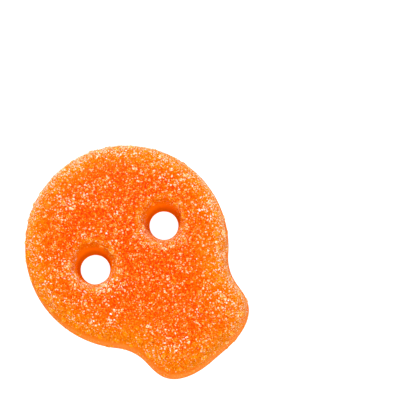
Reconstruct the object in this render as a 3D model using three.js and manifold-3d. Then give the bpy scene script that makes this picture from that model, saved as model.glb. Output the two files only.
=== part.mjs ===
// A sour gummy skull, lying on its flat back with its face up.
//
// It is one moulded piece of fruit gum: a round cranium that runs down into a blunt jaw leaning
// to the right, a flat back, a rounded front edge, a gently domed face, and two round eye holes
// that go right through and flare open at the face. The largest grains of its sugar coating
// stand on the face and the upper sides as relief.
//
// Millimetres. +Z points up out of the face, +Y to the crown and +X to the right of the face as
// it is looked at. The origin lies on the flat back, under the middle of the outline's box. The
// outline is worked out about the middle between the eyes, and moved to that origin at the end.

import * as THREE from 'three';
import { mergeVertices } from 'three/addons/utils/BufferGeometryUtils.js';
import { MeshSurfaceSampler } from 'three/addons/math/MeshSurfaceSampler.js';
import Module from 'manifold-3d';

// ---- Driving dimensions --------------------------------------------------------------------

// The cranium is a circle, the jaw a rounded block that leans and widens towards the chin.
const CRANIUM = { x: -0.33, y: 0.32, radius: 15.91 };
const JAW = {
  x: 1.38,
  y: -13.51,
  halfWidth: 7.74,
  halfHeight: 8.31,
  corner: 6.61,
  lean: THREE.MathUtils.degToRad(8.2),
  flarePerMm: 0.056,
};
const NECK_BLEND = 5.83; // how softly the cranium runs into the jaw

// The edge, from the flat back up to the face.
const BACK_EDGE_RADIUS = 0.8;
const WALL_TOP = 4.4;
const WALL_DRAFT = THREE.MathUtils.degToRad(5); // the wall leans in towards the face
const SHOULDER_WIDTH = 3.4;
const SHOULDER_HEIGHT = 4.1;
const SHOULDER_SWEEP = THREE.MathUtils.degToRad(86);
const DOME_RISE = 0.45; // the middle of the face above the inner end of the shoulder

// The eyes are 12.7 mm apart. Each hole is narrowest just above the back.
const EYES = [
  { x: -6.35, y: 0, radius: 2.28 },
  { x: 6.35, y: 0, radius: 2.22 },
];
const EYE_BACK_CHAMFER = 0.3;
const EYE_WALL_TOP = 5.4;
const EYE_WALL_DRAFT = THREE.MathUtils.degToRad(5.5);
const EYE_FLARE_WIDTH = 1.25;
const EYE_FLARE_HEIGHT = 3.4;
const EYE_FLARE_SWEEP = THREE.MathUtils.degToRad(80);

// Sugar grains are small blocks. The largest are placed first. They reach further down the wall
// on the side of the crown than round the cheeks and the chin, and leave the bores bare.
const GRAIN_COUNT = 232;
const GRAIN_LARGEST = 0.98;
const GRAIN_SMALLEST = 0.64;
const GRAIN_WIDTH = 0.82; // of a grain's length
const GRAIN_HEIGHT = 0.66; // of a grain's length
const GRAIN_SINK = 0.06; // how far its middle lies under the surface, of its length
const GRAIN_SPACING = 1.85;
const GRAIN_FLOOR = 1.1; // no grain's middle lies lower than this
const BARE_WALL = { height: 4.8, swing: 1.2, lowest: THREE.MathUtils.degToRad(57) };
const BARE_WALL_SHARE = 0.15; // of the grains that would fall there
const BARE_BORE_REACH = 0.75; // beyond an eye's radius
const GRAIN_SEED = 2543;

// Mesh fineness.
const OUTLINE_STEPS = 90;
const EDGE_STEPS = 3;
const WALL_STEPS = 1;
const SHOULDER_STEPS = 6;
const DOME_STEPS = 3;
const EYE_STEPS = 28;
const EYE_FLARE_STEPS = 5;
const BISECTION_STEPS = 40;

// ---- Outline -------------------------------------------------------------------------------

// Distance from the cranium's circle, negative inside.
function craniumDistance(x, y) {
  return Math.hypot(x - CRANIUM.x, y - CRANIUM.y) - CRANIUM.radius;
}

// Distance from the jaw's leaning, flared and rounded block, negative inside.
function jawDistance(x, y) {
  const offset = new THREE.Vector2(x - JAW.x, y - JAW.y);
  offset.rotateAround(new THREE.Vector2(), -JAW.lean);
  const along = THREE.MathUtils.clamp(offset.y, -JAW.halfHeight, JAW.halfHeight);
  const across = offset.x / (1 - JAW.flarePerMm * along);
  const beyondSide = Math.abs(across) - (JAW.halfWidth - JAW.corner);
  const beyondEnd = Math.abs(offset.y) - (JAW.halfHeight - JAW.corner);
  const outside = Math.hypot(Math.max(beyondSide, 0), Math.max(beyondEnd, 0));
  const inside = Math.min(Math.max(beyondSide, beyondEnd), 0);
  return outside + inside - JAW.corner;
}

// Distance from the skull's outline: cranium and jaw joined by a soft neck.
function outlineDistance(x, y) {
  const cranium = craniumDistance(x, y);
  const jaw = jawDistance(x, y);
  const share = THREE.MathUtils.clamp(0.5 + (0.5 * (cranium - jaw)) / NECK_BLEND, 0, 1);
  return THREE.MathUtils.lerp(cranium, jaw, share) - NECK_BLEND * share * (1 - share);
}

// How far the outline, drawn in by `inset`, lies from the middle between the eyes.
function outlineRadius(angle, inset) {
  let inner = 0;
  let outer = 2 * CRANIUM.radius;
  for (let step = 0; step < BISECTION_STEPS; step += 1) {
    const middle = (inner + outer) / 2;
    const distance = outlineDistance(middle * Math.cos(angle), middle * Math.sin(angle));
    if (distance < -inset) inner = middle;
    else outer = middle;
  }
  return inner;
}

// The box of the whole outline, which sets the part's origin.
function outlineBox() {
  const box = new THREE.Box2();
  for (let step = 0; step < OUTLINE_STEPS; step += 1) {
    const angle = (2 * Math.PI * step) / OUTLINE_STEPS;
    const radius = outlineRadius(angle, 0);
    box.expandByPoint(new THREE.Vector2(radius * Math.cos(angle), radius * Math.sin(angle)));
  }
  return box;
}

// ---- Body ----------------------------------------------------------------------------------

// The profile from the middle of the back, round the edge, to the middle of the face. A station
// says how far the outline is drawn in, how much of that ring's radius is used, and its height.
function profileStations() {
  const stations = [{ inset: BACK_EDGE_RADIUS, spread: 0, z: 0 }];
  for (let step = 0; step <= EDGE_STEPS; step += 1) {
    const turn = (0.5 * Math.PI * step) / EDGE_STEPS;
    stations.push({
      inset: BACK_EDGE_RADIUS * (1 - Math.sin(turn)),
      spread: 1,
      z: BACK_EDGE_RADIUS * (1 - Math.cos(turn)),
    });
  }
  const wallInset = (WALL_TOP - BACK_EDGE_RADIUS) * Math.tan(WALL_DRAFT);
  for (let step = 1; step <= WALL_STEPS; step += 1) {
    const share = step / WALL_STEPS;
    const z = THREE.MathUtils.lerp(BACK_EDGE_RADIUS, WALL_TOP, share);
    stations.push({ inset: wallInset * share, spread: 1, z });
  }
  for (let step = 1; step <= SHOULDER_STEPS; step += 1) {
    const turn = (SHOULDER_SWEEP * step) / SHOULDER_STEPS;
    stations.push({
      inset: wallInset + SHOULDER_WIDTH * (1 - Math.cos(turn)),
      spread: 1,
      z: WALL_TOP + SHOULDER_HEIGHT * Math.sin(turn),
    });
  }
  const rim = stations.at(-1);
  for (let step = 1; step <= DOME_STEPS; step += 1) {
    const spread = 1 - step / DOME_STEPS;
    const z = rim.z + DOME_RISE * (1 - spread * spread);
    stations.push({ inset: rim.inset, spread, z });
  }
  return stations;
}

// A sphere whose rings from pole to pole are moved to the stations of the profile.
function bodyGeometry() {
  const stations = profileStations();
  const rings = stations.length - 1;
  const sphere = new THREE.SphereGeometry(1, OUTLINE_STEPS, rings);
  const position = sphere.getAttribute('position');
  const columns = OUTLINE_STEPS + 1;
  for (let index = 0; index < position.count; index += 1) {
    const station = stations[rings - Math.floor(index / columns)];
    const angle = (2 * Math.PI * (index % columns)) / OUTLINE_STEPS;
    const radius = station.spread * outlineRadius(angle, station.inset);
    position.setXYZ(index, radius * Math.cos(angle), radius * Math.sin(angle), station.z);
  }
  return sphere;
}

// The space of one eye: a drafted bore that chamfers out at the back and flares at the face.
function eyeGeometry(eye) {
  const wallRadius = eye.radius + (EYE_WALL_TOP - EYE_BACK_CHAMFER) * Math.tan(EYE_WALL_DRAFT);
  const profile = [
    new THREE.Vector2(0, -EYE_BACK_CHAMFER),
    new THREE.Vector2(eye.radius + 2 * EYE_BACK_CHAMFER, -EYE_BACK_CHAMFER),
    new THREE.Vector2(eye.radius, EYE_BACK_CHAMFER),
  ];
  for (let step = 0; step <= EYE_FLARE_STEPS; step += 1) {
    const turn = (EYE_FLARE_SWEEP * step) / EYE_FLARE_STEPS;
    const radius = wallRadius + EYE_FLARE_WIDTH * (1 - Math.cos(turn));
    profile.push(new THREE.Vector2(radius, EYE_WALL_TOP + EYE_FLARE_HEIGHT * Math.sin(turn)));
  }
  const lip = profile.at(-1);
  const slope = new THREE.Vector2(
    EYE_FLARE_WIDTH * Math.sin(EYE_FLARE_SWEEP),
    EYE_FLARE_HEIGHT * Math.cos(EYE_FLARE_SWEEP),
  );
  const outside = lip.clone().add(slope);
  profile.push(outside, new THREE.Vector2(0, outside.y));
  const bore = new THREE.LatheGeometry(profile, EYE_STEPS);
  bore.rotateX(Math.PI / 2);
  bore.translate(eye.x, eye.y, 0);
  return bore;
}

// ---- Solids --------------------------------------------------------------------------------

const wasm = await Module();
wasm.setup();

// A closed geometry as a solid that can be joined and cut.
function toSolid(geometry) {
  const bare = geometry.clone();
  bare.deleteAttribute('normal');
  bare.deleteAttribute('uv');
  const merged = mergeVertices(bare);
  return new wasm.Manifold(
    new wasm.Mesh({
      numProp: 3,
      vertProperties: new Float32Array(merged.getAttribute('position').array),
      triVerts: new Uint32Array(merged.getIndex().array),
    }),
  );
}

// A joined or cut solid as a geometry again.
function toGeometry(solid) {
  const { vertProperties, triVerts } = solid.getMesh();
  const geometry = new THREE.BufferGeometry();
  geometry.setAttribute('position', new THREE.BufferAttribute(vertProperties, 3));
  geometry.setIndex(new THREE.BufferAttribute(triVerts, 1));
  geometry.computeVertexNormals();
  return geometry;
}

// ---- Sugar grains --------------------------------------------------------------------------

// Evenly spread numbers from 0 to 1 that are the same on every run.
function seededRandom(seed) {
  let state = seed;
  return () => {
    state = (Math.imul(state, 1664525) + 1013904223) >>> 0;
    return state / 2 ** 32;
  };
}

// A small block of sugar at a point of the surface, turned any way.
function grainGeometry(point, normal, length, random) {
  const grain = new THREE.BoxGeometry(length, GRAIN_WIDTH * length, GRAIN_HEIGHT * length);
  const turn = new THREE.Euler(2 * Math.PI * random(), 2 * Math.PI * random(), Math.PI * random());
  grain.applyQuaternion(new THREE.Quaternion().setFromEuler(turn));
  const middle = point.clone().addScaledVector(normal, -GRAIN_SINK * length);
  grain.translate(middle.x, middle.y, middle.z);
  return grain;
}

// Whether a point lies low on the wall, where hardly any grain sticks.
function isLowWall(point) {
  const fromLowest = Math.atan2(point.y, point.x) - BARE_WALL.lowest;
  return point.z < BARE_WALL.height - BARE_WALL.swing * Math.cos(fromLowest);
}

// Whether a point lies down one of the eyes' bores.
function isInBore(point) {
  return EYES.some((eye) => {
    const fromAxis = Math.hypot(point.x - eye.x, point.y - eye.y);
    return fromAxis < eye.radius + BARE_BORE_REACH;
  });
}

// Places grains over the bare gum, apart from each other, none on the back, and none past the
// box of the gum's own outline.
function sugarGrains(gum) {
  const random = seededRandom(GRAIN_SEED);
  const surface = new THREE.Mesh(toGeometry(gum));
  const sampler = new MeshSurfaceSampler(surface).setRandomGenerator(random).build();
  const limits = new THREE.Box3().setFromObject(surface);
  limits.max.z += GRAIN_LARGEST;
  const point = new THREE.Vector3();
  const normal = new THREE.Vector3();
  const taken = [];
  const grains = [];
  while (grains.length < GRAIN_COUNT) {
    sampler.sample(point, normal);
    const skipped = isLowWall(point) && random() > BARE_WALL_SHARE;
    const crowded = taken.some((other) => other.distanceTo(point) < GRAIN_SPACING);
    if (point.z < GRAIN_FLOOR || isInBore(point) || skipped || crowded) continue;
    const share = grains.length / (GRAIN_COUNT - 1);
    const length = THREE.MathUtils.lerp(GRAIN_LARGEST, GRAIN_SMALLEST, share);
    const grain = grainGeometry(point, normal, length, random);
    grain.computeBoundingBox();
    if (!limits.containsBox(grain.boundingBox)) continue;
    taken.push(point.clone());
    grains.push(grain);
  }
  return grains;
}

// ---- The skull -----------------------------------------------------------------------------

function gummySkull() {
  let solid = toSolid(bodyGeometry());
  for (const eye of EYES) {
    solid = solid.subtract(toSolid(eyeGeometry(eye)));
  }
  for (const grain of sugarGrains(solid)) {
    solid = solid.add(toSolid(grain));
  }
  const middle = outlineBox().getCenter(new THREE.Vector2());
  const geometry = toGeometry(solid);
  geometry.translate(-middle.x, -middle.y, 0);
  const material = new THREE.MeshStandardMaterial({
    color: 0xff6412,
    roughness: 0.45,
    metalness: 0,
  });
  const mesh = new THREE.Mesh(geometry, material);
  mesh.name = 'gummy_skull';
  return mesh;
}

const skull = new THREE.Group();
skull.add(gummySkull());

export default skull;
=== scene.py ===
"""Dresses the sour gummy skull: orange fruit gum under a coat of sugar crystals, on a bright floor."""

import logging
import math
from dataclasses import dataclass, field
from enum import Enum

import bmesh
import bpy
import numpy as np
from mathutils import Matrix, Vector, noise
from mathutils.bvhtree import BVHTree


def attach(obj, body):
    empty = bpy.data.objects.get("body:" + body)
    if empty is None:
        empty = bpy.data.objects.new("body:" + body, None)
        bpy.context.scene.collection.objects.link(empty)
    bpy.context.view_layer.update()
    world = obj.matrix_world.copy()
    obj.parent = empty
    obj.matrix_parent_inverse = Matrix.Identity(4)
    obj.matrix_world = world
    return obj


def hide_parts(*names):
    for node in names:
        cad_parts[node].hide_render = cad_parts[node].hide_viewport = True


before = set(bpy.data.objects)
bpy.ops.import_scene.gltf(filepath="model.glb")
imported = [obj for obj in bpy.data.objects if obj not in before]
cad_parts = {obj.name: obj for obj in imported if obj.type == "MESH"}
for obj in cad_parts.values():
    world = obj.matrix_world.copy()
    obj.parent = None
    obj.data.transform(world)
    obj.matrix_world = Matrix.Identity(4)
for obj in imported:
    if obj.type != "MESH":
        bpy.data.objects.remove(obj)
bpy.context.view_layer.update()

MM = 0.001
NODE = "gummy_skull"
BODY = "root"

Range = tuple[float, float]
Triple = tuple[float, float, float]
Colour = tuple[float, float, float, float]

log = logging.getLogger("gummy_skull")


# ---- Shader expressions ----


class Socket:
    """A shader value that Python's operators combine into Math and Vector Math nodes."""

    def __init__(self, graph: "Graph", link: bpy.types.NodeSocket) -> None:
        """Wraps one output socket.

        Args:
            graph: The node graph that the socket is in.
            link: The output socket itself.
        """
        self.graph = graph
        self.link = link

    def _combine(self, operation: str, other: "Socket | float", swap: bool = False) -> "Socket":
        """Adds one Math or Vector Math node.

        Args:
            operation: The node's operation, such as ADD.
            other: The second operand.
            swap: Whether the second operand comes first.

        Returns:
            The node's output.
        """
        pair = (other, self) if swap else (self, other)
        kind = "ShaderNodeVectorMath" if self.link.type == "VECTOR" else "ShaderNodeMath"
        return self.graph.add(kind, {"operation": operation}, {0: pair[0], 1: pair[1]})

    def __add__(self, other: "Socket | float") -> "Socket":
        """self + other."""
        return self._combine("ADD", other)

    def __radd__(self, other: "Socket | float") -> "Socket":
        """other + self."""
        return self._combine("ADD", other, swap=True)

    def __sub__(self, other: "Socket | float") -> "Socket":
        """self - other."""
        return self._combine("SUBTRACT", other)

    def __rsub__(self, other: "Socket | float") -> "Socket":
        """other - self."""
        return self._combine("SUBTRACT", other, swap=True)

    def __mul__(self, other: "Socket | float | Triple") -> "Socket":
        """self * other."""
        return self._combine("MULTIPLY", other)

    def __rmul__(self, other: "Socket | float") -> "Socket":
        """other * self."""
        return self._combine("MULTIPLY", other, swap=True)

    def ramp(self, low: float, high: float) -> "Socket":
        """Maps low to 0 and high to 1, smoothly and clamped.

        Args:
            low: The value that becomes 0.
            high: The value that becomes 1.

        Returns:
            The mapped value.
        """
        settings = {"interpolation_type": "SMOOTHSTEP"}
        sockets = {"Value": self, "From Min": low, "From Max": high}
        return self.graph.add("ShaderNodeMapRange", settings, sockets)


class Graph:
    """The node graph of a material or of the surroundings."""

    def __init__(self, owner: bpy.types.Material | bpy.types.World) -> None:
        """Starts an empty graph.

        Args:
            owner: What the graph belongs to.
        """
        owner.use_nodes = True
        self.owner = owner
        self.tree = owner.node_tree
        self.tree.nodes.clear()

    def add(self, kind: str, settings: dict[str, object], sockets: dict, output: int | str = 0) -> Socket:
        """Adds a node, sets it up and fills its sockets.

        Args:
            kind: The node's type.
            settings: Attributes of the node, which are set first.
            sockets: Values or links, by the name or number of the input socket.
            output: The name or number of the output socket that is wanted.

        Returns:
            That output socket.
        """
        node = self.tree.nodes.new(kind)
        for key, value in settings.items():
            setattr(node, key, value)
        for key, value in sockets.items():
            if isinstance(value, Socket):
                self.tree.links.new(value.link, node.inputs[key])
            else:
                node.inputs[key].default_value = value
        return Socket(self, node.outputs[output])

    def mix(self, share: Socket | float, first: Socket | Colour, second: Socket | Colour) -> Socket:
        """Mixes two colours.

        Args:
            share: How much of the second colour.
            first: A colour or a socket of one.
            second: A colour or a socket of one.

        Returns:
            The mixed colour.
        """
        settings = {"data_type": "RGBA"}
        return self.add("ShaderNodeMix", settings, {0: share, 6: first, 7: second}, output=2)

    def attribute(self, name: str) -> Socket:
        """A number that the mesh holds for each point."""
        return self.add("ShaderNodeAttribute", {"attribute_name": name}, {}, output="Fac")

    def noise(self, size_mm: float, detail: float, stretch: Triple = (1, 1, 1)) -> Socket:
        """Noise in the object's own space.

        Args:
            size_mm: About how large one blotch is, in millimetres.
            detail: How many finer layers it has.
            stretch: How much denser it is along each axis.

        Returns:
            The noise, from 0 to 1.
        """
        place = self.add("ShaderNodeTexCoord", {}, {}, output="Object") * stretch
        sockets = {"Vector": place, "Scale": 1 / (size_mm * MM), "Detail": detail}
        return self.add("ShaderNodeTexNoise", {}, sockets, output="Fac")

    def finish(self, surface: Socket) -> bpy.types.Material | bpy.types.World:
        """Ends the graph.

        Args:
            surface: The shader that it ends in.

        Returns:
            What the graph belongs to.
        """
        is_world = isinstance(self.owner, bpy.types.World)
        output = self.tree.nodes.new("ShaderNodeOutputWorld" if is_world else "ShaderNodeOutputMaterial")
        self.tree.links.new(surface.link, output.inputs["Surface"])
        return self.owner


# ---- Finishes ----


@dataclass(frozen=True)
class GumColour:
    """The colour of the clear gum: redder where it is thick, and yellower towards its thin rim, a painted
    glow of the light that shines through the thin gum.
    """

    deep: Colour = (0.95, 0.05, 0.0, 1.0)
    lit_through: Colour = (1.0, 0.16, 0.0, 1.0)
    turning: Range = (0.05, 0.95)
    blotch_mm: float = 5.0
    blotch_strength: float = 0.5

    def socket(self, graph: Graph) -> Socket:
        """The colour at each place, as a socket.

        Args:
            graph: The graph that uses it.

        Returns:
            The colour.
        """
        blotches = (graph.noise(self.blotch_mm, detail=2.0) - 0.5) * self.blotch_strength
        # painted light: the thinner the gum, the more its colour glows with the light shining through it
        glow_share = (graph.attribute("thin_glow") + blotches).ramp(*self.turning)
        return graph.mix(glow_share, self.deep, self.lit_through)


@dataclass(frozen=True)
class GumFinish:
    """Orange gum: satin, lit from within, with faint level lines round its wall."""

    colour: GumColour = GumColour()
    lip: Colour = (1.0, 0.2, 0.0, 1.0)
    lip_turning: Range = (0.0, 0.3)
    # painted shade: a darker, duller orange down the bores, whose walls lie in shadow
    bore: Colour = (0.68, 0.115, 0.0, 1.0)
    bore_shade_turning: Range = (0.25, 1.0)
    dusted: Colour = (1.0, 0.17, 0.022, 1.0)
    pit_mm: float = 0.4
    pit_share: float = 0.4
    line_mm: float = 2.5
    line_stretch: Triple = (1, 1, 8)
    relief_mm: float = 0.08
    roughness: float = 0.42
    roughness_swing: float = 0.2
    patch_mm: float = 0.8
    wetness: float = 0.1
    rim_dryness: float = 0.85
    scatter_mm: float = 1.2

    def material(self) -> bpy.types.Material:
        """Makes the gum's material.

        Returns:
            The material.
        """
        graph = Graph(bpy.data.materials.new("orange_gum"))
        pits = graph.noise(self.pit_mm, detail=3.0)
        lines = graph.noise(self.line_mm, detail=2.0, stretch=self.line_stretch)
        height = pits * self.pit_share + lines
        relief = {"Strength": 0.5, "Distance": self.relief_mm * MM, "Height": height}
        bore = graph.attribute("bore")
        in_flare = bore.ramp(*self.lip_turning)
        open_face = (1 - in_flare) * (1 - graph.attribute("thin_glow") * self.rim_dryness)
        dusted = graph.mix(graph.attribute("dusted"), self.colour.socket(graph), self.dusted)
        round_eye = graph.mix(in_flare, dusted, self.lip)
        patches = graph.noise(self.patch_mm, detail=2.0) * self.roughness_swing
        sockets = {
            # painted shade down the bores
            "Base Color": graph.mix(bore.ramp(*self.bore_shade_turning), round_eye, self.bore),
            "Roughness": patches + (self.roughness - self.roughness_swing / 2),
            "Normal": graph.add("ShaderNodeBump", {}, relief),
            "IOR": 1.45,
            "Specular IOR Level": 0.0,
            "Coat Weight": open_face * self.wetness,
            "Coat Roughness": 0.3,
            "Coat IOR": 1.4,
            "Subsurface Weight": 0.8,
            "Subsurface Radius": (1.0, 0.5, 0.2),
            "Subsurface Scale": self.scatter_mm * MM,
        }
        return graph.finish(graph.add("ShaderNodeBsdfPrincipled", {}, sockets))


@dataclass(frozen=True)
class SugarFinish:
    """Sugar crystals stuck to the gum: some clear, so that the gum glows through, some frosted.

    A crystal's share of frost takes its colour from the gum's over cloudy and frosted to the whitest, and
    rises towards the edges of its faces as a painted reflection.
    """

    name: str
    gum: GumColour = GumColour(deep=(1.0, 0.095, 0.0, 1.0), lit_through=(1.0, 0.25, 0.0, 1.0))
    cloudy: Colour = (1.0, 0.31, 0.01, 1.0)
    clouding: Range = (0.0, 0.6)
    frosted: Colour = (1.0, 0.69, 0.44, 1.0)
    frosting: Range = (0.4, 1.0)
    whitest: Colour = (1.0, 0.95, 0.9, 1.0)
    whitening: Range = (0.97, 1.22)
    # painted reflection: each face is paler towards its edges and keeps the gum's colour in its middle, for
    # the light that clear sugar bends and throws back
    edge_sheen_width: Range = (0.3, 1.0)
    centre: float = 0.6
    outline: float = 0.06
    flaw_mm: float = 0.2
    flaws: float = 1.2
    gloss: float = 0.1
    gloss_roughness: float = 0.07
    scatter_mm: float = 0.1

    def material(self) -> bpy.types.Material:
        """Makes the sugar's material.

        Returns:
            The material.
        """
        graph = Graph(bpy.data.materials.new(self.name))
        frost = graph.attribute("frost")
        # painted reflection: paler towards each face's edges
        edge = graph.attribute("edge").ramp(*self.edge_sheen_width)
        flaws = (graph.noise(self.flaw_mm, detail=1.0) - 0.5) * self.flaws
        share = frost * (edge * (1 - self.centre) + self.centre) + edge * self.outline + flaws
        cloudy = graph.mix(share.ramp(*self.clouding), self.gum.socket(graph), self.cloudy)
        frosted = graph.mix(share.ramp(*self.frosting), cloudy, self.frosted)
        sockets = {
            "Base Color": graph.mix(share.ramp(*self.whitening), frosted, self.whitest),
            "Roughness": 0.5,
            "Specular IOR Level": 0.0,
            "Coat Weight": graph.attribute("gloss") * self.gloss,
            "Coat Roughness": self.gloss_roughness,
            "Coat IOR": 1.5,
            "Subsurface Weight": 0.7,
            "Subsurface Radius": (1.0, 0.6, 0.4),
            "Subsurface Scale": self.scatter_mm * MM,
        }
        return graph.finish(graph.add("ShaderNodeBsdfPrincipled", {}, sockets))


@dataclass(frozen=True)
class FloorFinish:
    """A plain pale sheet, lit from below."""

    colour: Colour = (0.24, 0.24, 0.24, 1.0)
    fibre: Colour = (0.28, 0.28, 0.28, 1.0)
    fibre_mm: float = 3.0
    glow: float = 1.0

    def material(self) -> bpy.types.Material:
        """Makes the floor's material.

        Returns:
            The material.
        """
        graph = Graph(bpy.data.materials.new("bright_floor"))
        sockets = {
            "Base Color": graph.mix(graph.noise(self.fibre_mm, detail=4.0), self.colour, self.fibre),
            "Roughness": 0.9,
            "Emission Color": (1.0, 1.0, 1.0, 1.0),
            "Emission Strength": self.glow,
        }
        return graph.finish(graph.add("ShaderNodeBsdfPrincipled", {}, sockets))


# ---- Mesh helpers ----


def mesh_object(name: str, points: np.ndarray, faces: list) -> bpy.types.Object:
    """Makes a mesh object.

    Args:
        name: The object's name.
        points: One row of x, y, z for each vertex, in millimetres.
        faces: The vertex numbers of each face.

    Returns:
        The object, linked to the scene.
    """
    mesh = bpy.data.meshes.new(name)
    mesh.from_pydata((points * MM).tolist(), [], faces)
    mesh.validate()
    mesh.update()
    made = bpy.data.objects.new(name, mesh)
    bpy.context.scene.collection.objects.link(made)
    return made


def closed_rings(rings: np.ndarray, bottom: np.ndarray, top: np.ndarray) -> tuple[np.ndarray, list]:
    """Joins a stack of rings, and a point at each end, into a closed surface.

    Args:
        rings: Points by ring, place on the ring and coordinate, going up and anticlockwise.
        bottom: The point under the first ring.
        top: The point over the last ring.

    Returns:
        The points and the faces, which look outwards.
    """
    count, steps = rings.shape[:2]
    points = np.concatenate([rings.reshape(-1, 3), [bottom, top]])
    low, high = count * steps, count * steps + 1
    faces = []
    for step in range(steps):
        after = (step + 1) % steps
        faces.append((low, after, step))
        faces.append((high, (count - 1) * steps + step, (count - 1) * steps + after))
        for ring in range(count - 1):
            here, above = ring * steps, (ring + 1) * steps
            faces.append((here + step, here + after, above + after, above + step))
    return points, faces


def smooth_step(value: np.ndarray, low: float, high: float) -> np.ndarray:
    """0 below low, 1 above high and smooth between them."""
    share = np.clip((value - low) / (high - low), 0, 1)
    return share * share * (3 - 2 * share)


def soft_noise(places: np.ndarray, size_mm: float, seed: float) -> np.ndarray:
    """Smooth noise from about -1 to 1 at each place.

    Args:
        places: Points in millimetres.
        size_mm: About how large one swell is.
        seed: Which noise.

    Returns:
        One number for each place.
    """
    shift = Vector((seed, 2 * seed, 3 * seed))
    return np.array([noise.noise(Vector(place) / size_mm + shift) for place in places])


def set_numbers(mesh: bpy.types.Mesh, values: dict[str, np.ndarray]) -> None:
    """Stores numbers with a mesh's points, for its material to read.

    Args:
        mesh: The mesh.
        values: One number for each point, by the attribute's name.
    """
    for name, numbers in values.items():
        mesh.attributes.new(name, "FLOAT", "POINT").data.foreach_set("value", numbers)


def read_vectors(items: bpy.types.bpy_prop_collection, name: str) -> np.ndarray:
    """Reads one vector of each item.

    Args:
        items: The items, such as a mesh's vertices.
        name: The vector's name.

    Returns:
        One row for each item.
    """
    values = np.empty(len(items) * 3)
    items.foreach_get(name, values)
    return values.reshape(-1, 3)


# ---- The gum ----


@dataclass(frozen=True)
class SkullOutline:
    """The skull's outline as a formula, in millimetres about the middle between the eyes."""

    cranium_x: float = -0.33
    cranium_y: float = 0.32
    cranium_radius: float = 15.91
    jaw_x: float = 1.38
    jaw_y: float = -13.51
    jaw_half_width: float = 7.74
    jaw_half_height: float = 8.31
    jaw_corner: float = 6.61
    jaw_lean: float = math.radians(8.2)
    jaw_flare_per_mm: float = 0.056
    neck_blend: float = 5.83

    def distance(self, x: np.ndarray, y: np.ndarray) -> np.ndarray:
        """Distance from the outline, negative inside.

        Args:
            x: Places across, from the middle between the eyes.
            y: Places along, from there.

        Returns:
            The distances.
        """
        cranium = np.hypot(x - self.cranium_x, y - self.cranium_y) - self.cranium_radius
        right, up = x - self.jaw_x, y - self.jaw_y
        cosine, sine = math.cos(self.jaw_lean), math.sin(self.jaw_lean)
        along = up * cosine - right * sine
        reach = np.clip(along, -self.jaw_half_height, self.jaw_half_height)
        across = (right * cosine + up * sine) / (1 - self.jaw_flare_per_mm * reach)
        beyond_side = np.abs(across) - (self.jaw_half_width - self.jaw_corner)
        beyond_end = np.abs(along) - (self.jaw_half_height - self.jaw_corner)
        outside = np.hypot(np.maximum(beyond_side, 0), np.maximum(beyond_end, 0))
        inside = np.minimum(np.maximum(beyond_side, beyond_end), 0)
        jaw = outside + inside - self.jaw_corner
        share = np.clip(0.5 + 0.5 * (cranium - jaw) / self.neck_blend, 0, 1)
        return cranium + (jaw - cranium) * share - self.neck_blend * share * (1 - share)

    def direction(self, x: np.ndarray, y: np.ndarray, step: float = 0.1) -> np.ndarray:
        """Which way is straight out of the outline.

        Args:
            x: Places across, from the middle between the eyes.
            y: Places along, from there.
            step: Half of the length that the slope is taken over.

        Returns:
            The directions, in radians.
        """
        rightwards = self.distance(x + step, y) - self.distance(x - step, y)
        upwards = self.distance(x, y + step) - self.distance(x, y - step)
        return np.arctan2(upwards, rightwards)

    def radius(self, angle: np.ndarray, inset: float, halvings: int = 40) -> np.ndarray:
        """How far the outline, drawn in by inset, lies from the middle between the eyes.

        Args:
            angle: Directions, in radians.
            inset: How far the outline is drawn in.
            halvings: How often the search is narrowed down.

        Returns:
            The distance in each direction.
        """
        inner = np.zeros_like(angle)
        outer = np.full_like(angle, 2 * self.cranium_radius)
        for _ in range(halvings):
            middle = (inner + outer) / 2
            within = self.distance(middle * np.cos(angle), middle * np.sin(angle)) < -inset
            inner = np.where(within, middle, inner)
            outer = np.where(within, outer, middle)
        return inner


@dataclass(frozen=True)
class EyeHole:
    """One eye: a drafted bore that chamfers out at the back and flares at the face."""

    x: float
    radius: float
    back_chamfer: float = 0.3
    wall_top: float = 5.4
    wall_draft: float = math.radians(5.5)
    flare_width: float = 1.25
    flare_height: float = 3.4
    flare_sweep: float = math.radians(80)

    def beyond(self, x: np.ndarray, y: np.ndarray) -> np.ndarray:
        """How far each place is out of the bore, as seen from above."""
        return np.hypot(x - self.x, y) - self.radius

    def cutter(self, steps: int = 96, flare_steps: int = 16) -> bpy.types.Object:
        """Makes the space of the hole as a solid.

        Args:
            steps: How many sides it has.
            flare_steps: How many rings its flare has.

        Returns:
            The solid.
        """
        wall_radius = self.radius + (self.wall_top - self.back_chamfer) * math.tan(self.wall_draft)
        profile = [(self.radius + 2 * self.back_chamfer, -self.back_chamfer)]
        profile.append((self.radius, self.back_chamfer))
        for turn in np.linspace(0, self.flare_sweep, flare_steps):
            reach = wall_radius + self.flare_width * (1 - math.cos(turn))
            profile.append((reach, self.wall_top + self.flare_height * math.sin(turn)))
        lip_x, lip_z = profile[-1]
        slope_x = self.flare_width * math.sin(self.flare_sweep)
        slope_z = self.flare_height * math.cos(self.flare_sweep)
        profile.append((lip_x + slope_x, lip_z + slope_z))
        turns = np.linspace(0, 2 * math.pi, steps, endpoint=False)
        rings = [
            np.stack([self.x + r * np.cos(turns), r * np.sin(turns), np.full(steps, z)], axis=1)
            for r, z in profile
        ]
        bottom = np.array([self.x, 0.0, profile[0][1]])
        top = np.array([self.x, 0.0, profile[-1][1]])
        return mesh_object("eye_space", *closed_rings(np.array(rings), bottom, top))


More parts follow.
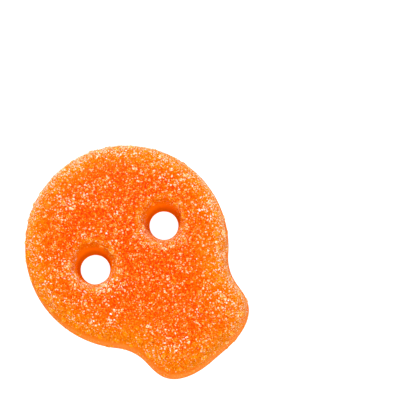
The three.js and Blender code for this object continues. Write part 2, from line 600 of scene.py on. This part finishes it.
@dataclass(frozen=True)
class SugaredArea:
    """Where the sugar sticks: over the face and the shoulder, hardly on the wall, not in the bores.

    The sugar's lower limit on the wall swings round the outline, and is lowest where the wall looks
    the way that lowest says. A bore is bare for a little further on its bare side.
    """

    eyes: tuple[EyeHole, ...]
    outline: SkullOutline
    limit_height: float = 4.2
    limit_swing: float = 2.2
    lowest: float = math.radians(25)
    fade: float = 0.4
    wall_share: float = 0.06
    wall_foot: float = 0.6
    bore_reach: float = 0.1
    bore_reach_far: float = 0.5
    bare_side: float = math.radians(77)
    bare_turning: Range = (0.55, 1.0)

    def eye_share(self, x: np.ndarray, y: np.ndarray) -> np.ndarray:
        """How far each place is out of the eyes: 0 in a bore, 1 on the face round it.

        Args:
            x: Places across, from the middle between the eyes.
            y: Places along, from there.

        Returns:
            Shares from 0 to 1.
        """
        share = np.ones_like(x)
        for eye in self.eyes:
            turned = 0.5 + 0.5 * np.cos(np.arctan2(y, x - eye.x) - self.bare_side)
            further = (self.bore_reach_far - self.bore_reach) * smooth_step(turned, *self.bare_turning)
            share *= smooth_step(eye.beyond(x, y) - (self.bore_reach + further), 0.0, self.fade)
        return share

    def share(self, x: np.ndarray, y: np.ndarray, z: np.ndarray) -> np.ndarray:
        """How fully each place is covered.

        Args:
            x: Places across, from the middle between the eyes.
            y: Places along, from there.
            z: Heights.

        Returns:
            Shares from 0 to 1.
        """
        limit = self.limit_height - self.limit_swing * np.cos(self.outline.direction(x, y) - self.lowest)
        outside = smooth_step(z, limit - self.fade, limit + self.fade)
        strays = np.where(z > self.wall_foot, self.wall_share, 0)
        return np.maximum(outside, strays) * self.eye_share(x, y)


@dataclass
class GumBody:
    """The moulded gum: flat back, drafted wall, round shoulder, domed face and two eyes.

    The sizes are in millimetres. Each range says where something fades in or out, by height above the
    back or, for eye_reach and the reach of the painted glow round the eyes, by distance from a bore.
    """

    outline: SkullOutline = field(default_factory=SkullOutline)
    eyes: tuple[EyeHole, ...] = (EyeHole(-6.35, 2.28), EyeHole(6.35, 2.22))
    back_edge: float = 0.8
    back_steps: int = 7
    wall_top: float = 4.4
    wall_draft: float = math.radians(5)
    wall_steps: int = 9
    shoulder_width: float = 3.4
    shoulder_height: float = 4.1
    shoulder_sweep: float = math.radians(86)
    shoulder_steps: int = 19
    dome_rise: float = 0.45
    dome_steps: int = 21
    rim_reach: float = 4.0
    crust: float = 0.18
    eye_reach: Range = (1.0, 1.5)
    bore_fade: Range = (0.5, 9.0)
    dust_start: Range = (0.0, 3.0)
    dust_fade: Range = (3.5, 7.0)
    # painted light: how strongly the thin gum round the eyes glows
    eye_glow: float = 0.6
    glow_reach: Range = (0.8, 3.0)
    shaded_side: float = math.radians(45)
    swell_mm: float = 4.0
    swell: float = 0.06
    swell_seed: float = 1.7
    swell_start: Range = (0.3, 2.0)
    flat_height: float = 0.1
    voxel: float = 0.19
    steps: int = 300

    def stations(self) -> list[Triple]:
        """Works out the profile from the back round the edge to the middle of the face.

        Returns:
            The inset, the share of the ring's radius, and the height at each ring.
        """
        found = []
        for turn in np.linspace(0, math.pi / 2, self.back_steps):
            inset = self.back_edge * (1 - math.sin(turn))
            found.append((inset, 1.0, self.back_edge * (1 - math.cos(turn))))
        wall_inset = (self.wall_top - self.back_edge) * math.tan(self.wall_draft)
        for share in np.linspace(0, 1, self.wall_steps)[1:]:
            height = self.back_edge + (self.wall_top - self.back_edge) * share
            found.append((wall_inset * share, 1.0, height))
        for turn in np.linspace(0, self.shoulder_sweep, self.shoulder_steps)[1:]:
            inset = wall_inset + self.shoulder_width * (1 - math.cos(turn))
            found.append((inset, 1.0, self.wall_top + self.shoulder_height * math.sin(turn)))
        rim_inset, _, rim_z = found[-1]
        for spread in np.linspace(1, 0, self.dome_steps)[1:]:
            found.append((rim_inset, spread, rim_z + self.dome_rise * (1 - spread * spread)))
        return found

    def middle(self) -> np.ndarray:
        """Finds the middle of the outline's box.

        Returns:
            Where it is, from the middle between the eyes, in millimetres.
        """
        turns = np.linspace(0, 2 * math.pi, self.steps, endpoint=False)
        reach = self.outline.radius(turns, 0.0)
        x, y = reach * np.cos(turns), reach * np.sin(turns)
        return np.array([(x.min() + x.max()) / 2, (y.min() + y.max()) / 2, 0.0])

    def raw(self) -> bpy.types.Object:
        """Makes the body without its eyes.

        Returns:
            The body's object.
        """
        turns = np.linspace(0, 2 * math.pi, self.steps, endpoint=False)
        stations = self.stations()
        rings = []
        for inset, spread, height in stations[:-1]:
            reach = spread * self.outline.radius(turns, inset)
            ring = [reach * np.cos(turns), reach * np.sin(turns), np.full(self.steps, height)]
            rings.append(np.stack(ring, axis=1))
        top = np.array([0.0, 0.0, stations[-1][2]])
        return mesh_object("gum", *closed_rings(np.array(rings), np.zeros(3), top))

    def build(self, area: SugaredArea) -> bpy.types.Object:
        """Makes the gum, in its place.

        Args:
            area: Where the sugar sticks, which the gum leaves room for.

        Returns:
            The gum's object, with what its material reads at each point.
        """
        body = self.raw()
        cutters = [eye.cutter() for eye in self.eyes]
        for cutter in cutters:
            cut = body.modifiers.new("eye", "BOOLEAN")
            cut.operation = "DIFFERENCE"
            cut.solver = "EXACT"
            cut.object = cutter
        remesh = body.modifiers.new("even_mesh", "REMESH")
        remesh.mode = "VOXEL"
        remesh.voxel_size = self.voxel * MM
        remesh.use_smooth_shade = True
        soften = body.modifiers.new("soften", "SMOOTH")
        soften.factor = 0.5
        soften.iterations = 4
        evaluated = body.evaluated_get(bpy.context.evaluated_depsgraph_get())
        mesh = bpy.data.meshes.new_from_object(evaluated)
        body.modifiers.clear()
        body.data = mesh
        for cutter in cutters:
            bpy.data.objects.remove(cutter)
        self.settle(mesh, area)
        return body

    def settle(self, mesh: bpy.types.Mesh, area: SugaredArea) -> None:
        """Draws the sugared faces in, makes them uneven and moves the mesh to the part's origin.

        Args:
            mesh: The gum's mesh.
            area: Where the sugar sticks.
        """
        points = read_vectors(mesh.vertices, "co") / MM
        normals = read_vectors(mesh.vertices, "normal")
        x, y, z = points.T
        in_eye = self.near_eye(x, y, self.eye_reach)
        dusted = smooth_step(z, *self.dust_start) * (1 - smooth_step(z, *self.dust_fade))
        values = {
            # painted glow of light through the thin gum
            "thin_glow": self.thin_glow(x, y),
            # how far down a bore each point lies, for the lip and the painted shade
            "bore": in_eye * (1 - smooth_step(z, *self.bore_fade)),
            "dusted": (1 - in_eye) * dusted,
        }
        swells = self.swell * soft_noise(points, self.swell_mm, self.swell_seed)
        swells *= smooth_step(z, *self.swell_start)
        points += normals * (swells - self.crust * area.share(x, y, z))[:, None]
        points[:, 2] = np.where(z < self.flat_height, 0.0, np.maximum(points[:, 2], 0.0))
        points -= self.middle()
        mesh.vertices.foreach_set("co", (points * MM).ravel())
        set_numbers(mesh, values)
        mesh.update()

    def near_eye(self, x: np.ndarray, y: np.ndarray, reach: Range) -> np.ndarray:
        """How near each place is to an eye.

        Args:
            x: Places across, from the middle between the eyes.
            y: Places along, from there.
            reach: How far out of the bore the answer is still 1, and where it has become 0.

        Returns:
            Shares from 0 to 1.
        """
        return np.maximum(*[1 - smooth_step(eye.beyond(x, y), *reach) for eye in self.eyes])

    def eye_side(self, x: np.ndarray, y: np.ndarray) -> np.ndarray:
        """On which side of its eye each place lies.

        Args:
            x: Places across, from the middle between the eyes.
            y: Places along, from there.

        Returns:
            From 1 on the side that lies open to the light to -1 on the shaded side.
        """
        right, up = math.cos(self.shaded_side), math.sin(self.shaded_side)
        sides = [
            -((x - eye.x) * right + y * up) / np.maximum(np.hypot(x - eye.x, y), eye.radius)
            for eye in self.eyes
        ]
        return np.where(x < 0, sides[0], sides[1])

    def edge(self, x: np.ndarray, y: np.ndarray) -> np.ndarray:
        """How near each place is to the outline: 1 on it, less further in."""
        return np.exp(np.minimum(self.outline.distance(x, y), 0) / self.rim_reach)

    def thin_glow(self, x: np.ndarray, y: np.ndarray) -> np.ndarray:
        """How thin the gum looks at each place, which paints the glow of light through it: 1 on the
        outline, less round the eyes, 0 far from both.
        """
        return np.maximum(self.edge(x, y), self.eye_glow * self.near_eye(x, y, self.glow_reach))


# ---- Sugar ----


class CrystalKind(Enum):
    """The kinds of crystal that are strewn between the large ones."""

    COARSE = "coarse"
    MEDIUM = "medium"
    SMALL = "small"
    FINE = "fine"


class CrystalCut(Enum):
    """How finely a crystal is shaped."""

    POKED = "bevelled, with a point in the middle of each wide face"
    BLUNT = "bevelled"
    PLAIN = "a plain block"


@dataclass
class Crystal:
    """One crystal as points, triangles, and how near each point is to an edge of it."""

    points: np.ndarray
    faces: np.ndarray
    edge: np.ndarray

    @classmethod
    def read(cls, block: bmesh.types.BMesh, wide_share: float) -> "Crystal":
        """Pokes a block's wide faces and reads it.

        Args:
            block: A convex block in millimetres, which is freed.
            wide_share: A wide face is larger than this share of the largest one, so 1 pokes none.

        Returns:
            The crystal.
        """
        least = wide_share * max(face.calc_area() for face in block.faces)
        wide = [face for face in block.faces if len(face.verts) > 3 and face.calc_area() > least]
        middles = set(bmesh.ops.poke(block, faces=wide)["verts"])
        bmesh.ops.triangulate(block, faces=block.faces)
        block.verts.index_update()
        points = np.array([v.co[:] for v in block.verts])
        faces = np.array([[v.index for v in face.verts] for face in block.faces])
        edge = np.array([0.0 if v in middles else 1.0 for v in block.verts])
        block.free()
        return cls(points, faces, edge)

    @classmethod
    def grown(
        cls,
        rng: np.random.Generator,
        cut: CrystalCut,
        bevel: Range = (0.16, 0.27),
        skew: float = 0.18,
        jitter: float = 0.03,
    ) -> "Crystal":
        """Makes a slightly skewed block of unit length.

        Args:
            rng: The source of chance.
            cut: How finely it is shaped.
            bevel: How far its edges are blunted, if they are.
            skew: How far its axes lean at most.
            jitter: How far its points are moved at most.

        Returns:
            The crystal.
        """
        block = bmesh.new()
        bmesh.ops.create_cube(block, size=1.0)
        if cut is not CrystalCut.PLAIN:
            cut_off = rng.uniform(*bevel)
            bmesh.ops.bevel(block, geom=block.edges[:], offset=cut_off, segments=1, affect="EDGES")
        made = cls.read(block, wide_share=0.9 if cut is CrystalCut.POKED else 1.0)
        axes = np.eye(3) + rng.uniform(-skew, skew, (3, 3))
        made.points = made.points @ axes.T + rng.uniform(-jitter, jitter, made.points.shape)
        return made

    @classmethod
    def hull(cls, corners: list[Vector], flat: float = math.radians(12), bevel: float = 0.04) -> "Crystal":
        """Makes the convex block round some points, with blunt edges.

        Args:
            corners: The points, in metres.
            flat: Faces that meet at less than this angle become one.
            bevel: How far its edges are blunted, in millimetres.

        Returns:
            The crystal, in millimetres.
        """
        block = bmesh.new()
        for corner in corners:
            block.verts.new(corner / MM)
        made = bmesh.ops.convex_hull(block, input=block.verts)
        unused = made["geom_interior"] + made["geom_unused"]
        spare = {v for v in unused if isinstance(v, bmesh.types.BMVert)}
        bmesh.ops.delete(block, geom=list(spare), context="VERTS")
        bmesh.ops.dissolve_limit(block, angle_limit=flat, verts=block.verts, edges=block.edges)
        bmesh.ops.bevel(block, geom=block.edges[:], offset=bevel, segments=1, affect="EDGES")
        return cls.read(block, wide_share=0.3)


@dataclass(frozen=True)
class Strewing:
    """How many crystals of a kind are strewn, and their sizes in millimetres, largest first."""

    kind: CrystalKind
    cut: CrystalCut
    count: int
    largest: float
    smallest: float
    seed: int
    tries: int
    frost: float = 1.0
    spacing: float = 0.37


NEAR_CELLS = [(a, b, c) for a in (0, -1, 1) for b in (0, -1, 1) for c in (0, -1, 1)]


class SpotGrid:
    """Remembers where the crystals of one kind lie, so that no new one comes too near."""

    def __init__(self, largest: float) -> None:
        """Starts an empty grid.

        Args:
            largest: Half of the most room that a crystal of this kind needs.
        """
        self.cell = 2 * largest
        self.cells: dict[tuple[int, int, int], list[tuple[float, float, float, float]]] = {}

    def key(self, place: Triple) -> tuple[int, int, int]:
        """The cell that a place is in."""
        x, y, z = place
        return math.floor(x / self.cell), math.floor(y / self.cell), math.floor(z / self.cell)

    def is_free(self, place: Triple, reach: float) -> bool:
        """Whether a crystal, no larger than this kind's largest, fits.

        Args:
            place: The crystal's middle.
            reach: Half of the room that it needs.

        Returns:
            True if no crystal of this kind is too near.
        """
        i, j, k = self.key(place)
        for a, b, c in NEAR_CELLS:
            for x, y, z, other in self.cells.get((i + a, j + b, k + c), ()):
                gap = (x - place[0]) ** 2 + (y - place[1]) ** 2 + (z - place[2]) ** 2
                if gap < (reach + other) ** 2:
                    return False
        return True

    def take(self, place: Triple, reach: float) -> None:
        """Notes a crystal."""
        self.cells.setdefault(self.key(place), []).append((*place, reach))


@dataclass
class SugarCoat:
    """The coat of crystals: the solid's own large ones, and finer ones strewn between them.

    The sizes are in millimetres, but sink, flank_sink and flank_shrink are shares of a crystal's
    length. The frost is strongest near the outline, in patches, on the dusty wall and, as a haze, round
    the eyes; painted highlights raise it on the side that faces the light and on the side of an eye
    that lies open to the light. Painted shade lowers it on the lee side and on the shaded side of an eye.
    """

    body: GumBody
    area: SugaredArea
    gum: bpy.types.Object
    plans: tuple[Strewing, ...] = (
        Strewing(CrystalKind.COARSE, CrystalCut.POKED, 200, 0.5, 0.4, 11, 4),
        Strewing(CrystalKind.MEDIUM, CrystalCut.POKED, 2600, 0.37, 0.3, 12, 8),
        Strewing(CrystalKind.SMALL, CrystalCut.BLUNT, 4500, 0.3, 0.22, 14, 12),
        Strewing(CrystalKind.FINE, CrystalCut.PLAIN, 16500, 0.22, 0.13, 13, 10, frost=0.8, spacing=0.35),
    )
    relief_height: float = 0.3
    relief_merge: float = 0.002
    root: float = 0.25
    large_reach: float = 0.3
    large_frost: float = 0.35
    large_seed: int = 5
    least_peak: float = 0.08
    peak_gain: float = 0.5
    sink: float = 0.1
    flank_sink: float = 0.38
    flank_shrink: float = 0.3
    shape_seed: int = 100
    shape_count: int = 12
    width_range: Range = (0.7, 1.0)
    height_range: Range = (0.65, 1.0)
    gloss_turning: Range = (0.4, 0.95)
    clearness: float = 2.4
    inner_frost: float = 0.8
    rim_gain: float = 0.5
    patch_strength: float = 0.6
    patch_mm: float = 3.0
    patch_seed: float = 4.1
    dust: float = 0.12
    # painted highlight: crystals on the side that faces the light are made paler
    lit_side: Triple = (0.2, 0.98, 0.0)
    lit_side_sheen: float = 0.55
    # painted shade: crystals on the side turned from the light lose frost
    lee_shade: float = 0.6
    dusty_wall: Triple = (0.84, -0.54, 0.0)
    wall_dust: float = 0.45
    wall_slope: float = 0.35
    haze: float = 0.13
    # painted highlight: more haze on the side of an eye that lies open to the light
    lit_haze: float = 0.22
    haze_reach: Range = (1.4, 3.4)
    shade_loss: float = 0.4
    shade_reach: Range = (0.6, 1.8)
    eye_reach: Range = (1.0, 1.8)
    grids: list[SpotGrid] = field(default_factory=list)

    def __post_init__(self) -> None:
        """Reads the gum's triangles."""
        mesh = self.gum.data
        mesh.calc_loop_triangles()
        corners = np.empty(len(mesh.loop_triangles) * 3, dtype=np.int32)
        mesh.loop_triangles.foreach_get("vertices", corners)
        self.triangles = (read_vectors(mesh.vertices, "co") / MM)[corners.reshape(-1, 3)]
        first, second, third = self.triangles.transpose(1, 0, 2)
        crosses = np.cross(second - first, third - first)
        areas = np.linalg.norm(crosses, axis=1)
        self.normals = crosses / np.maximum(areas, 1e-12)[:, None]
        weights = areas * self.area.share(*(self.triangles.mean(axis=1) + self.body.middle()).T)
        self.chances = np.cumsum(weights) / weights.sum()

    def frost(
        self, places: np.ndarray, normals: np.ndarray, strength: float, rng: np.random.Generator
    ) -> np.ndarray:
        """How frosted the crystal at each place is, with painted highlights on lit sides and painted shade
        on shaded ones.

        Args:
            places: The middles of the crystals.
            normals: The gum's normals there.
            strength: How frosted this kind of crystal gets at most.
            rng: The source of chance.

        Returns:
            Numbers from 0, clear, to 1, frosted.
        """
        x, y, _ = (places + self.body.middle()).T
        steepness = 1 - normals[:, 2] ** 2
        far = 1 - self.body.near_eye(x, y, self.eye_reach)
        # how far the gum faces the light, for painted highlight and painted shade
        facing = far * (normals @ np.array(self.lit_side))
        wall = far * np.clip(normals @ np.array(self.dusty_wall) - self.wall_slope, 0, 1)
        side = self.body.eye_side(x, y)
        shaded = np.clip(-side, 0, 1) * self.body.near_eye(x, y, self.shade_reach)
        # painted highlight: more haze on the side of an eye open to the light
        haze = self.haze + self.lit_haze * np.clip(side, 0, 1)
        haze *= self.body.near_eye(x, y, self.haze_reach)
        most = strength * (self.inner_frost + self.rim_gain * self.body.edge(x, y))
        # painted shade on the side turned from the light and on the shaded side of an eye
        most *= 1 - self.lee_shade * np.clip(-facing, 0, 1) - self.shade_loss * shaded
        most *= 1 + self.patch_strength * soft_noise(places, self.patch_mm, self.patch_seed)
        # dust on steep faces and on the dusty wall, painted highlights on the lit side and round the open
        # side of an eye, and painted shade that takes the haze and the steep dust off the shaded side of an
        # eye
        dusted = self.dust * steepness * (1 - shaded) + self.lit_side_sheen * np.clip(facing, 0, 1) ** 2
        dusted += self.wall_dust * wall + haze * (1 - np.clip(2 * shaded, 0, 1))
        return np.clip(rng.random(len(places)) ** self.clearness * most + dusted, 0, 1)

    def fused(self) -> bpy.types.Object:
        """Makes the large crystals as convex blocks, each where the solid's relief has it.

        Returns:
            The crystals, as one object.
        """
        tree = BVHTree.FromObject(self.gum, bpy.context.evaluated_depsgraph_get())
        relief = bmesh.new()
        relief.from_mesh(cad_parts[NODE].data)
        bmesh.ops.remove_doubles(relief, verts=relief.verts, dist=self.relief_merge * MM)
        heights, roots = {}, {}
        for vertex in relief.verts:
            place, normal, _, _ = tree.find_nearest(vertex.co)
            heights[vertex] = (vertex.co - place).dot(normal) / MM
            roots[vertex] = place - normal * self.root * MM
            most = self.least_peak + self.peak_gain * max(normal.z, 0)
            vertex.co -= normal * max(heights[vertex] - most, 0) * MM
        bare = [f for f in relief.faces if max(heights[v] for v in f.verts) < self.relief_height]
        bmesh.ops.delete(relief, geom=bare, context="FACES")
        blocks = [
            [v.co.copy() for v in island] + [roots[v] for v in island]
            for island in islands(relief)
        ]
        relief.free()
        places = np.array([np.mean([c[:] for c in corners], axis=0) for corners in blocks]) / MM
        normals = np.array([tree.find_nearest(Vector(place) * MM)[1][:] for place in places])
        grid = SpotGrid(self.large_reach)
        self.grids.append(grid)
        for place in places:
            grid.take(tuple(place), self.large_reach)
        log.info("large crystals: %d", len(blocks))
        crystals = [Crystal.hull(corners) for corners in blocks]
        rng = np.random.default_rng(self.large_seed)
        frosts = self.frost(places, normals, self.large_frost, rng)
        return self.join("sugar_large", crystals, frosts, normals)

    def strew(self, plan: Strewing) -> bpy.types.Object:
        """Strews one kind of crystal.

        Args:
            plan: Its count and sizes.

        Returns:
            The crystals, as one object.
        """
        rng = np.random.default_rng(plan.seed)
        places, lengths, ups = [], [], []
        own = SpotGrid(plan.largest * plan.spacing)
        self.grids.append(own)
        spots, normals = self.spots(rng, plan.count * plan.tries)
        for spot, normal in zip(spots.tolist(), normals):
            flank = 1 - max(normal[2], 0)
            length = plan.largest + (plan.smallest - plan.largest) * len(places) / plan.count
            length *= 1 - self.flank_shrink * flank
            reach = length * plan.spacing
            if all(grid.is_free(spot, reach) for grid in reversed(self.grids)):
                own.take(spot, reach)
                places.append(spot - normal * length * (self.sink + self.flank_sink * flank))
                lengths.append(length)
                ups.append(normal)
                if len(places) == plan.count:
                    break
        log.info("%s crystals: %d", plan.kind.value, len(places))
        return self.stamp(plan, np.array(places), np.array(lengths), np.array(ups))

    def spots(self, rng: np.random.Generator, count: int) -> tuple[np.ndarray, np.ndarray]:
        """Draws places on the gum, evenly by area but fewer where less sugar sticks.

        Args:
            rng: The source of chance.
            count: How many places.

        Returns:
            The places and the gum's normals there.
        """
        picked = np.searchsorted(self.chances, rng.random(count))
        u, v = rng.random((2, count))
        flip = u + v > 1
        u, v = np.where(flip, 1 - u, u)[:, None], np.where(flip, 1 - v, v)[:, None]
        first, second, third = self.triangles[picked].transpose(1, 0, 2)
        return first + u * (second - first) + v * (third - first), self.normals[picked]

    def stamp(
        self, plan: Strewing, places: np.ndarray, lengths: np.ndarray, normals: np.ndarray
    ) -> bpy.types.Object:
        """Makes the crystals of one kind.

        Args:
            plan: The kind.
            places: The crystals' middles.
            lengths: Their lengths.
            normals: The gum's normals under them.

        Returns:
            The crystals, as one object.
        """
        rng = np.random.default_rng(self.shape_seed + plan.seed)
        count = len(places)
        shapes = [Crystal.grown(rng, plan.cut) for _ in range(self.shape_count)]
        chosen = rng.integers(0, len(shapes), count)
        turns = random_turns(rng, count)
        widths = rng.uniform(*self.width_range, count)
        heights = widths * rng.uniform(*self.height_range, count)
        stretch = np.stack([np.ones(count), widths, heights], axis=1)
        crystals = []
        for number in range(count):
            shape = shapes[chosen[number]]
            grown = (shape.points * stretch[number] * lengths[number]) @ turns[number].T
            crystals.append(Crystal(grown + places[number], shape.faces, shape.edge))
        frosts = self.frost(places, normals, plan.frost, rng)
        return self.join(f"sugar_{plan.kind.value}", crystals, frosts, normals)

    def join(
        self, name: str, crystals: list[Crystal], frosts: np.ndarray, normals: np.ndarray
    ) -> bpy.types.Object:
        """Joins crystals into one mesh.

        Args:
            name: The piece's name.
            crystals: The crystals, each in its place.
            frosts: How frosted each crystal is, from 0 to 1.
            normals: The gum's normal under each crystal.

        Returns:
            The crystals, as one object.
        """
        counts = [len(crystal.points) for crystal in crystals]
        starts = np.concatenate([[0], np.cumsum(counts)[:-1]])
        points = np.concatenate([crystal.points for crystal in crystals])
        faces = np.concatenate([c.faces + start for c, start in zip(crystals, starts)])
        made = mesh_object(name, points, faces.tolist())
        x, y, _ = (points + self.body.middle()).T
        values = {
            # painted glow of light through the thin gum under each crystal
            "thin_glow": self.body.thin_glow(x, y),
            "frost": np.repeat(frosts, counts),
            "gloss": np.repeat(smooth_step(normals[:, 2], *self.gloss_turning), counts),
            # for the painted reflection: 0 in the middle of a wide face, 1 at its edges
            "edge": np.concatenate([crystal.edge for crystal in crystals]),
        }
        set_numbers(made.data, values)
        return made


def islands(mesh: bmesh.types.BMesh) -> list[list[bmesh.types.BMVert]]:
    """Groups the vertices that faces join.

    Args:
        mesh: The mesh.

    Returns:
        The vertices of each group, without loose ones.
    """
    left = {v for v in mesh.verts if v.link_faces}
    found = []
    for start in mesh.verts:
        if start not in left:
            continue
        left.remove(start)
        stack, island = [start], []
        while stack:
            vertex = stack.pop()
            island.append(vertex)
            for edge in vertex.link_edges:
                other = edge.other_vert(vertex)
                if other in left:
                    left.remove(other)
                    stack.append(other)
        found.append(island)
    return found


def random_turns(rng: np.random.Generator, count: int) -> np.ndarray:
    """Even random rotations.

    Args:
        rng: The source of chance.
        count: How many are wanted.

    Returns:
        One 3 by 3 matrix for each.
    """
    quaternions = rng.normal(size=(count, 4))
    quaternions /= np.linalg.norm(quaternions, axis=1)[:, None]
    w, x, y, z = quaternions.T
    rows = [
        [1 - 2 * (y * y + z * z), 2 * (x * y - w * z), 2 * (x * z + w * y)],
        [2 * (x * y + w * z), 1 - 2 * (x * x + z * z), 2 * (y * z - w * x)],
        [2 * (x * z - w * y), 2 * (y * z + w * x), 1 - 2 * (x * x + y * y)],
    ]
    return np.array(rows).transpose(2, 0, 1)


# ---- Studio ----


@dataclass
class Studio:
    """A bright floor, soft light from beyond the crown and the chin, and a camera almost overhead."""

    eyes: Vector
    image_up: tuple[float, float] = (0.540, 0.8416)
    tilt: float = math.radians(6.0)
    turn: float = math.radians(20.0)
    lens: float = 250.0
    sensor: float = 36.0
    picture_px: float = 420.0
    mm_per_px: float = 0.1564
    eyes_px: tuple[float, float] = (129.9, 248.1)
    floor_half_mm: float = 1500.0
    floor_drop_mm: float = 0.02
    world_strength: float = 0.45
    lamp_height: float = math.radians(60)
    lamp_distance: float = 0.35
    key_left: float = 0.35
    key_size: float = 0.06
    key_power: float = 0.85
    fill_right: float = 0.4
    fill_size: float = 0.3
    fill_power: float = 0.7

    def floor(self) -> None:
        """Makes the floor."""
        half = self.floor_half_mm
        corners = np.array([[-half, -half, 0.0], [half, -half, 0.0], [half, half, 0.0], [-half, half, 0.0]])
        made = mesh_object("floor", corners, [(0, 1, 2, 3)])
        made.location.z = -self.floor_drop_mm * MM
        made.data.materials.append(FloorFinish().material())

    def axes(self) -> tuple[Vector, Vector]:
        """The picture's right and up, along the floor."""
        up = Vector((*self.image_up, 0.0)).normalized()
        return Vector((up.y, -up.x, 0.0)), up

    def camera(self) -> None:
        """Makes the camera."""
        right, up = self.axes()
        leaning = right * math.sin(self.turn) - up * math.cos(self.turn)
        back = Vector((0, 0, 1)) * math.cos(self.tilt) + leaning * math.sin(self.tilt)
        pixel = self.mm_per_px * MM
        distance = self.picture_px * pixel * self.lens / self.sensor
        place = self.eyes + back * distance
        screen_up = (up - back * up.dot(back)).normalized()
        screen_right = screen_up.cross(back)
        half = self.picture_px / 2
        target = self.eyes + screen_right * (half - self.eyes_px[0]) * pixel
        target -= screen_up * (half - self.eyes_px[1]) * pixel
        data = bpy.data.cameras.new("camera")
        data.lens = self.lens
        data.sensor_width = self.sensor
        data.clip_start = 0.01
        data.clip_end = 10.0
        made = bpy.data.objects.new("camera", data)
        bpy.context.scene.collection.objects.link(made)
        forward = (target - place).normalized()
        side = forward.cross(screen_up).normalized()
        rotation = Matrix((side, side.cross(forward), -forward)).transposed()
        made.matrix_world = Matrix.Translation(place) @ rotation.to_4x4()
        bpy.context.scene.camera = made

    def lamp(self, name: str, towards: Vector, size: float, power: float) -> None:
        """Adds a round soft lamp that looks at the sweet.

        Args:
            name: The lamp's name.
            towards: Its direction along the floor.
            size: Its width, in metres.
            power: Its power, in watts.
        """
        data = bpy.data.lights.new(name, "AREA")
        data.shape = "DISK"
        data.size = size
        data.energy = power
        made = bpy.data.objects.new(name, data)
        level, upright = math.cos(self.lamp_height), math.sin(self.lamp_height)
        place = towards.normalized() * level + Vector((0, 0, 1)) * upright
        made.location = place * self.lamp_distance
        made.rotation_mode = "QUATERNION"
        made.rotation_quaternion = place.to_track_quat("Z", "Y")
        bpy.context.scene.collection.objects.link(made)

    def lights(self) -> None:
        """Adds the lamps and the surroundings' light."""
        right, up = self.axes()
        self.lamp("key", up - right * self.key_left, self.key_size, self.key_power)
        self.lamp("fill", right * self.fill_right - up, self.fill_size, self.fill_power)
        graph = Graph(bpy.data.worlds.new("surroundings"))
        sky = {"Color": (1.0, 1.0, 1.0, 1.0), "Strength": self.world_strength}
        bpy.context.scene.world = graph.finish(graph.add("ShaderNodeBackground", {}, sky))
        bpy.context.scene.view_settings.view_transform = "Standard"


# ---- The whole scene ----


def dress(piece: bpy.types.Object, material: bpy.types.Material) -> None:
    """Gives a piece its material, slot and body, and lets it stand for the solid.

    Args:
        piece: The piece.
        material: Its finish.
    """
    piece.data.materials.clear()
    piece.data.materials.append(material)
    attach(piece, BODY)
    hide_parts(NODE)
    triangles = sum(len(polygon.vertices) - 2 for polygon in piece.data.polygons)
    log.info("%s: %d triangles", piece.name, triangles)


def main() -> None:
    """Builds and dresses the skull, then the studio round it."""
    logging.basicConfig(level=logging.INFO, format="%(message)s")
    body = GumBody()
    area = SugaredArea(body.eyes, body.outline)
    gum = body.build(area)
    coat = SugarCoat(body, area, gum)
    crystals = [coat.fused()] + [coat.strew(plan) for plan in coat.plans]
    dress(gum, GumFinish().material())
    dress(crystals[0], SugarFinish("large_crystals", flaws=3.0).material())
    sugar = SugarFinish("sugar_crystals").material()
    for piece in crystals[1:]:
        dress(piece, sugar)
    studio = Studio(Vector(-body.middle() * MM))
    studio.floor()
    studio.lights()
    studio.camera()


if __name__ == "__main__":
    main()
